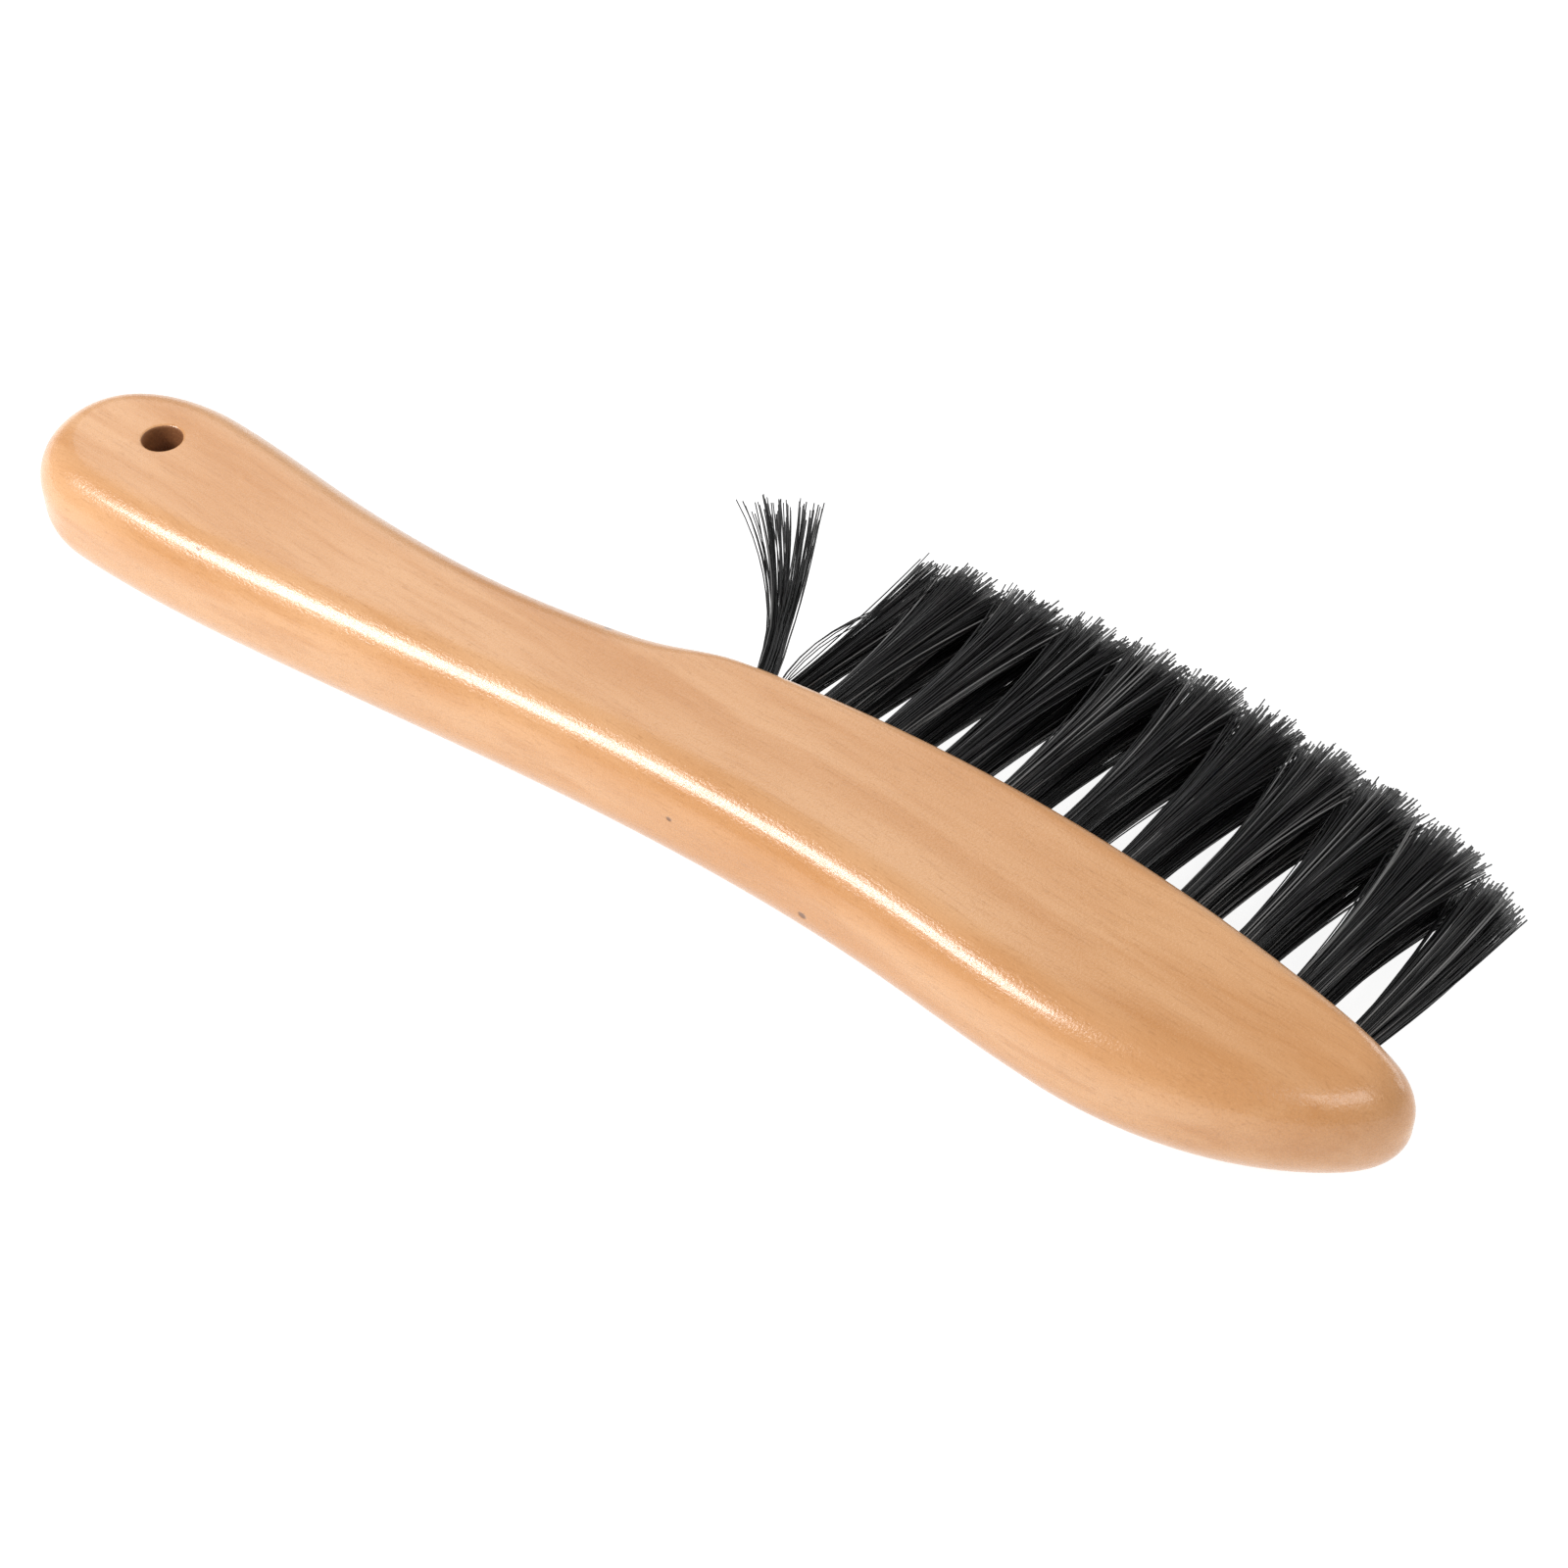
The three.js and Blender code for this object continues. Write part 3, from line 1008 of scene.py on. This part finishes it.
    def repeated(
        self, name: str, tufts: list[str], points: np.ndarray, faces: list
    ) -> bpy.types.Object:
        """One object that holds a copy of a shape at each tuft's seat.

        Args:
            name: The object's name.
            tufts: The tufts' names.
            points: The shape's points, with the seat at the origin.
            faces: The shape's faces.

        Returns:
            The object.
        """
        all_points, all_faces = [], []
        for k, tuft in enumerate(tufts):
            all_points.append(points + self.seat(tuft))
            all_faces += [tuple(v + k * len(points) for v in face) for face in faces]
        return link_mesh(name, mesh_from(name, np.vstack(all_points), all_faces))

    def build(self, tufts: list[str]) -> bpy.types.Object:
        """Makes the block and dresses it.

        Args:
            tufts: The names of the tufts that stand in it.

        Returns:
            The finished block.
        """
        made = self.body()
        carve(made, self.hang_hole_cutter())
        carve(made, self.tuft_hole_cutter(tufts))
        carve(made, self.slot_cutter(tufts))
        made.data.polygons.foreach_set("use_smooth", [True] * len(made.data.polygons))
        made.data.set_sharp_from_angle(angle=math.radians(self.sharp_angle))
        made.data.materials.clear()
        made.data.materials.append(self.finish.material())
        made.data.materials.append(self.bare.material())
        # Faces on the hang hole's wall take the bare finish, whose darker colour is painted shade.
        for face in made.data.polygons:
            face.material_index = int(self.in_hang_hole(face.center))
        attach(made, "root")
        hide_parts(self.node)
        return made

    def in_hang_hole(self, place: Vector) -> bool:
        """Whether a place in metres lies on the hang hole's wall."""
        x, y = self.hang_hole_axis
        reach = self.hang_hole_diameter / 2 + 0.3 * self.hang_hole_rim
        inside = math.hypot(place.x / MM - x, place.y / MM - y) < reach
        return inside and self.wall_margin < place.z / MM < self.thickness - self.wall_margin


# ---------------------------------------------------------------------------------------------
# Bristles
# ---------------------------------------------------------------------------------------------


class Growth(Enum):
    """How a tuft stands."""

    UPRIGHT = "upright"
    SPLAYED = "splayed"
    RAGGED = "ragged"
    BOWED = "bowed"


@dataclass
class Tuft:
    """A bundle of bristles, each folded round the staple with both ends standing out."""

    name: str
    seat: np.ndarray
    growth: Growth
    seed: int
    bristles: int = 130
    reach: float = 40.4
    root_radius: float = 2.0
    spread_x: float = 6.7
    spread_z: float = 3.6
    opening: float = 2.0
    unevenness: float = 0.10
    thickness: float = 0.27
    sides: int = 5
    free_steps: int = 10
    fold_depth: float = 11.7
    crown_low: float = 10.2
    crown_half_width: float = 0.4
    ragged_length: float = 0.011
    bend: float = 0.6
    strays: int = 0
    splay_back: float = 22.2
    splay_up: float = 5.5
    splay_curve: float = 1.2
    splay_split: float = 1.3
    lean_x: float = 6.4
    lean_up: float = 6.5
    wild_share: float = 0.04
    wild_factor: float = 3.0
    wave_size: float = 0.16
    fan_start: float = 0.3
    loose_bow: float = 4.2
    loose_bow_spread: float = 1.6
    lean_scatter: float = 2.0
    nose_bow: float = 1.6
    thickness_scatter: float = 0.10
    taper: float = 0.08
    table_gap: float = 0.25
    table_softness: float = 0.6

    @property
    def node(self) -> str:
        """The solid that this tuft stands for."""
        return "tuft_" + self.name

    def roots(self, chance: np.random.Generator) -> tuple[np.ndarray, np.ndarray]:
        """Places the two halves of each bristle at the hole's mouth.

        Args:
            chance: The tuft's own random numbers.

        Returns:
            The roots of the two halves, as shares of the root radius.
        """
        distance = np.sqrt((np.arange(self.bristles) + chance.random(self.bristles)) / self.bristles)
        angle = (chance.random(self.bristles) - 0.5) * math.pi * 0.98
        first = np.stack([distance * np.cos(angle), distance * np.sin(angle)], axis=1)
        partner = np.clip(angle + chance.normal(0.0, 0.25, self.bristles), -1.54, 1.54)
        reach = np.clip(distance + chance.normal(0.0, 0.08, self.bristles), 0.03, 1.0)
        second = np.stack([-reach * np.cos(partner), reach * np.sin(partner)], axis=1)
        return first, second

    def free_half(self, roots: np.ndarray, chance: np.random.Generator) -> np.ndarray:
        """The standing part of one half of the bristles.

        Args:
            roots: The roots, as shares of the root radius.
            chance: The tuft's own random numbers.

        Returns:
            Points from the mouth to the tip, one row for each bristle.
        """
        count = len(roots)
        t = np.linspace(0.0, 1.0, self.free_steps + 1)[None, :]
        length = self.reach * (1 + chance.normal(0.0, self.ragged_length, count))[:, None]
        widen_x = self.spread_x * (1 + chance.normal(0.0, self.unevenness, count))[:, None]
        widen_z = self.spread_z * (1 + chance.normal(0.0, self.unevenness, count))[:, None]
        opened = t**self.opening
        x = roots[:, :1] * (self.root_radius + (widen_x - self.root_radius) * opened)
        z = roots[:, 1:] * (self.root_radius + (widen_z - self.root_radius) * opened)
        wild = np.where(chance.random(count) < self.wild_share, self.wild_factor, 1.0)[:, None]
        x = x + chance.normal(0.0, self.bend, count)[:, None] * wild * t**2
        z = z + chance.normal(0.0, self.bend * 0.8, count)[:, None] * wild * t**2
        wave = np.sin(math.pi * t)
        x = x + chance.normal(0.0, self.wave_size, count)[:, None] * wave
        z = z + chance.normal(0.0, self.wave_size, count)[:, None] * wave
        x, z = self.shaped(x, z, t, roots, chance)
        side = np.hypot(np.diff(x, axis=1), np.diff(z, axis=1))
        step = length / self.free_steps
        rise = np.sqrt(np.maximum(step**2 - side**2, (0.3 * step) ** 2))
        y = np.concatenate([np.zeros((count, 1)), np.cumsum(rise, axis=1)], axis=1)
        return self.above_table(np.stack([x, y, z], axis=2))

    def shaped(
        self,
        x: np.ndarray,
        z: np.ndarray,
        t: np.ndarray,
        roots: np.ndarray,
        chance: np.random.Generator,
    ) -> tuple[np.ndarray, np.ndarray]:
        """Bends the standing part the way that this tuft grows.

        Args:
            x: The upright bristles' places along the brush.
            z: Their places across it.
            t: The share of the length at each step.
            roots: The roots, as shares of the root radius.
            chance: The tuft's own random numbers.

        Returns:
            The bent bristles' places along the brush and across it.
        """
        count = len(roots)
        if self.growth is Growth.SPLAYED:
            side = np.where(roots[:, 0] + chance.normal(0, 0.3, count) > 0.1, 1.0, -1.0)[:, None]
            lean = t**self.splay_curve
            fan = self.splay_split * side * np.maximum(t - self.fan_start, 0.0) / (1 - self.fan_start)
            x = x - self.splay_back * lean + fan
            z = 0.8 * z + self.splay_up * lean
        elif self.growth is Growth.RAGGED:
            loose = chance.random(count)[:, None] ** 2
            stray = np.arange(count)[:, None] < self.strays
            bow = (self.loose_bow + self.loose_bow_spread * loose) * np.sin(math.pi * t)
            x = x + np.where(stray, -bow, (self.lean_x - self.lean_scatter * loose) * t**2)
            z = z + np.where(stray, -0.5 * t, self.lean_up * t**2)
        elif self.growth is Growth.BOWED:
            x = x + self.nose_bow * np.sin(math.pi * t) * np.maximum(roots[:, :1], 0.0)
        return x, z

    def above_table(self, path: np.ndarray) -> np.ndarray:
        """Lets the lowest bristles rest on the table instead of passing through it."""
        lowest = self.table_gap - self.seat[2]
        above = (path[:, :, 2] - lowest) / self.table_softness
        path[:, :, 2] = lowest + self.table_softness * np.logaddexp(0.0, above)
        return path

    def paths(self) -> np.ndarray:
        """Every bristle's line from one tip, down round the staple, and out to the other tip."""
        chance = np.random.default_rng(self.seed)
        first, second = self.roots(chance)
        out, back = self.free_half(first, chance), self.free_half(second, chance)
        inside = [self.sunk(first, depth) for depth in (3.0, 7.0, self.crown_low)]
        inside_back = [self.sunk(second, depth) for depth in (self.crown_low, 7.0, 3.0)]
        deep = 0.5 * (np.abs(first[:, 0]) + np.abs(second[:, 0]))
        bottom = np.zeros((self.bristles, 3))
        bottom[:, 1] = -self.crown_low - 0.2 - (self.fold_depth - self.crown_low - 0.3) * deep
        bottom[:, 2] = 0.5 * (first[:, 1] + second[:, 1]) * self.root_radius
        rows = [out[:, ::-1]] + [p[:, None] for p in inside] + [bottom[:, None]]
        rows += [p[:, None] for p in inside_back] + [back]
        return np.concatenate(rows, axis=1) + self.seat

    def sunk(self, roots: np.ndarray, depth: float) -> np.ndarray:
        """Where the bristles pass at a depth in the hole, clear of the staple's crown.

        Args:
            roots: The roots, as shares of the root radius.
            depth: The depth below the face.

        Returns:
            One point for each bristle.
        """
        clear = self.crown_half_width + self.thickness / 2 + 0.05
        share = min(depth / self.crown_low, 1.0)
        x = roots[:, 0] * self.root_radius
        pressed = np.sign(x) * (clear + np.abs(roots[:, 0]) * (self.root_radius - clear - 0.1))
        x = x + (pressed - x) * share
        z = roots[:, 1] * self.root_radius * (1 - 0.08 * share)
        return np.stack([x, np.full(len(x), -depth), z], axis=1)

    def mesh(self) -> bpy.types.Mesh:
        """Makes a thin tube along every bristle.

        Returns:
            The mesh, with each vertex's strand number and share of the length.
        """
        path = self.paths()
        count, stops = path.shape[:2]
        chance = np.random.default_rng(self.seed + 500)
        along = unit(np.gradient(path, axis=1))
        across = unit(np.cross(along, np.array([0.0, 0.0, 1.0])))
        over = np.cross(across, along)
        free = self.free_steps + 1
        share = np.zeros(stops)
        share[:free] = np.linspace(1.0, 0.0, free)
        share[-free:] = np.linspace(0.0, 1.0, free)
        radius = self.thickness / 2 * (1 + chance.normal(0.0, self.thickness_scatter, (count, 1)))
        radius = radius * (1 - self.taper * share[None, :] ** 3)
        turns = np.arange(self.sides) * 2 * math.pi / self.sides
        phase = chance.random((count, 1, 1)) * 2 * math.pi
        cos, sin = np.cos(turns + phase)[..., None], np.sin(turns + phase)[..., None]
        ring = cos * across[:, :, None, :] + sin * over[:, :, None, :]
        points = path[:, :, None, :] + ring * radius[:, :, None, None]
        faces = []
        for k in range(count):
            start = k * stops * self.sides
            for stop in range(stops - 1):
                low = start + stop * self.sides
                high = low + self.sides
                for side in range(self.sides):
                    after = (side + 1) % self.sides
                    faces.append((low + side, high + side, high + after, low + after))
            last = start + (stops - 1) * self.sides
            faces.append(tuple(start + side for side in range(self.sides)))
            faces.append(tuple(last + side for side in reversed(range(self.sides))))
        mesh = mesh_from(self.node, points.reshape(-1, 3), faces)
        strand = np.repeat(chance.random(count), stops * self.sides)
        level = np.tile(np.repeat(share, self.sides), count)
        for label, values in (("strand", strand), ("share", level)):
            mesh.attributes.new(label, "FLOAT", "POINT").data.foreach_set(
                "value", values.astype(np.float32)
            )
        return mesh

    def build(self, material: bpy.types.Material) -> bpy.types.Object:
        """Makes the tuft and dresses it.

        Args:
            material: The bristles' material.

        Returns:
            The finished tuft.
        """
        made = link_mesh("bristles_" + self.name, self.mesh())
        made.data.materials.append(material)
        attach(made, "root")
        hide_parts(self.node)
        return made


@dataclass
class Bristles:
    """All the tufts: two rows of ten and a single one at the nose."""

    finish: BlackBristle
    columns: int = 10
    reach: float = 40.4
    longer_middle: float = 1.5
    ragged_extra: float = 1.5
    end_reach: float = 40.0

    def names(self) -> list[str]:
        """Every tuft's name, from the handle to the nose."""
        rows = [f"{row}_{k}" for k in range(1, self.columns + 1) for row in ("upper", "lower")]
        return rows + ["nose"]

    def tuft(self, name: str, seat: np.ndarray, number: int) -> Tuft:
        """Settles how one tuft stands.

        Args:
            name: The tuft's name.
            seat: Where its hole meets the face.
            number: Its number along the brush.

        Returns:
            The tuft.
        """
        seed = 41 + 7 * number
        middle = math.sin(math.pi * number / (2 * self.columns))
        reach = self.reach + self.longer_middle * middle
        if name == "upper_1":
            sizes = {"bristles": 40, "spread_x": 3.9, "bend": 0.7, "reach": self.end_reach}
            return Tuft(name, seat, Growth.SPLAYED, seed, **sizes)
        if name == "lower_1":
            sizes = {"bristles": 70, "spread_x": 5.2, "bend": 1.0, "strays": 2}
            return Tuft(name, seat, Growth.RAGGED, seed, reach=reach + self.ragged_extra, **sizes)
        if name == "nose":
            sizes = {"spread_x": 5.2, "spread_z": 4.4, "reach": self.end_reach}
            return Tuft(name, seat, Growth.BOWED, seed, **sizes)
        return Tuft(name, seat, Growth.UPRIGHT, seed, reach=reach)

    def build(self, block: WoodenBlock) -> list[bpy.types.Object]:
        """Makes every tuft.

        Args:
            block: The block that they stand in.

        Returns:
            The tufts' pieces.
        """
        material = self.finish.material()
        made = []
        for number, name in enumerate(self.names()):
            made.append(self.tuft(name, block.seat(name), number).build(material))
        return made


@dataclass
class Staples:
    """The wire anchors, which keep their solids' shape."""

    finish: StapleSteel

    def build(self, tufts: list[str]) -> list[bpy.types.Object]:
        """Dresses the staples.

        Args:
            tufts: The names of the tufts that they hold.

        Returns:
            The staples' pieces.
        """
        material = self.finish.material()
        made = []
        for name in tufts:
            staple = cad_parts["staple_" + name]
            staple.data.materials.clear()
            staple.data.materials.append(material)
            made.append(staple)
        return made


# ---------------------------------------------------------------------------------------------
# The studio
# ---------------------------------------------------------------------------------------------


@dataclass
class SoftBox:
    """A soft rectangular light, aimed at the brush."""

    name: str
    towards: tuple[float, float, float]
    distance: float
    width: float
    height: float
    watts: float
    aim: tuple[float, float, float] = (0.0, 0.0, 0.0)

    def build(self) -> bpy.types.Object:
        """Adds the light.

        Returns:
            The light's object.
        """
        data = bpy.data.lights.new(self.name, "AREA")
        data.shape = "RECTANGLE"
        data.size, data.size_y = self.width, self.height
        data.energy = self.watts
        made = bpy.data.objects.new(self.name, data)
        bpy.context.scene.collection.objects.link(made)
        aim = Vector(self.aim)
        direction = Vector(self.towards).normalized()
        made.location = aim + direction * self.distance
        made.rotation_euler = direction.to_track_quat("Z", "Y").to_euler()
        return made


def soft_boxes() -> list[SoftBox]:
    """The studio's lights: two over the brush, one for the nose and one behind the bristles."""
    return [
        SoftBox(
            "overhead",
            towards=(-0.47, 0.56, 0.68),
            distance=0.95,
            width=0.7,
            height=0.6,
            watts=1.6,
            aim=(-0.26, 0.0, 0.0),
        ),
        SoftBox(
            "strip",
            towards=(-0.47, -0.57, 0.67),
            distance=0.80,
            width=0.42,
            height=0.21,
            watts=5.7,
            aim=(-0.01, -0.02, 0.02),
        ),
        SoftBox(
            "nose",
            towards=(0.60, -0.28, 0.75),
            distance=0.55,
            width=0.22,
            height=0.22,
            watts=0.62,
            aim=(0.13, -0.015, 0.02),
        ),
        SoftBox(
            "back",
            towards=(0.40, 0.88, 0.24),
            distance=0.90,
            width=0.9,
            height=0.3,
            watts=2.2,
        ),
    ]


@dataclass
class Studio:
    """The table, the lights and the camera."""

    finish: PaleTable
    table_size: float = 30.0
    azimuth: float = 41.295
    elevation: float = 44.402
    distance: float = 477.91
    look_at: tuple[float, float, float] = (13.55, -4.45, 0.0)
    lens: float = 67.5
    sensor: float = 36.0
    room_light: float = 0.36
    table_drop: float = 0.0001

    def camera(self) -> bpy.types.Object:
        """Adds the camera and makes it the scene's own."""
        data = bpy.data.cameras.new("camera")
        data.lens = self.lens
        data.sensor_width = self.sensor
        data.clip_start, data.clip_end = 0.01, 20.0
        turn, tilt = math.radians(self.azimuth), math.radians(self.elevation)
        towards = Vector(
            (math.sin(turn) * math.cos(tilt), -math.cos(turn) * math.cos(tilt), math.sin(tilt))
        )
        made = bpy.data.objects.new("camera", data)
        bpy.context.scene.collection.objects.link(made)
        made.location = (Vector(self.look_at) + towards * self.distance) * MM
        made.rotation_euler = towards.to_track_quat("Z", "Y").to_euler()
        bpy.context.scene.camera = made
        return made

    def table(self) -> bpy.types.Object:
        """Adds the table under the brush."""
        low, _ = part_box("block")
        half = self.table_size / 2
        corners = [(-half, -half), (half, -half), (half, half), (-half, half)]
        mesh = bpy.data.meshes.new("table")
        mesh.from_pydata([(x, y, low.z - self.table_drop) for x, y in corners], [], [(0, 1, 2, 3)])
        made = bpy.data.objects.new("table", mesh)
        bpy.context.scene.collection.objects.link(made)
        mesh.materials.append(self.finish.material())
        return made

    def room(self) -> None:
        """Lights the scene evenly from all round."""
        world = bpy.data.worlds.new("room")
        bpy.context.scene.world = world
        world.use_nodes = True
        background = world.node_tree.nodes["Background"]
        background.inputs["Color"].default_value = (1.0, 1.0, 1.0, 1.0)
        background.inputs["Strength"].default_value = self.room_light

    def build(self) -> None:
        """Sets up the whole studio."""
        bpy.context.scene.view_settings.view_transform = "Standard"
        self.camera()
        self.table()
        self.room()
        for light in soft_boxes():
            light.build()


# ---------------------------------------------------------------------------------------------
# Assembly
# ---------------------------------------------------------------------------------------------


def report(piece: bpy.types.Object) -> None:
    """Logs one piece's name, face count and size in millimetres."""
    size = [round(v / MM, 1) for v in piece.dimensions]
    LOG.info("%s: %d faces, %s mm", piece.name, len(piece.data.polygons), size)


def main() -> None:
    """Builds the studio and the brush, and reports each piece."""
    logging.basicConfig(level=logging.INFO, format="%(message)s")
    effects = Effects()
    Studio(PaleTable(effects)).build()
    block = WoodenBlock(LacqueredWood(effects), bare_wall_painted_shade(effects))
    bristles = Bristles(BlackBristle(effects))
    tufts = bristles.names()
    report(block.build(tufts))
    for tuft in bristles.build(block):
        report(tuft)
    for staple in Staples(StapleSteel(effects)).build(tufts):
        report(staple)


if __name__ == "__main__":
    main()
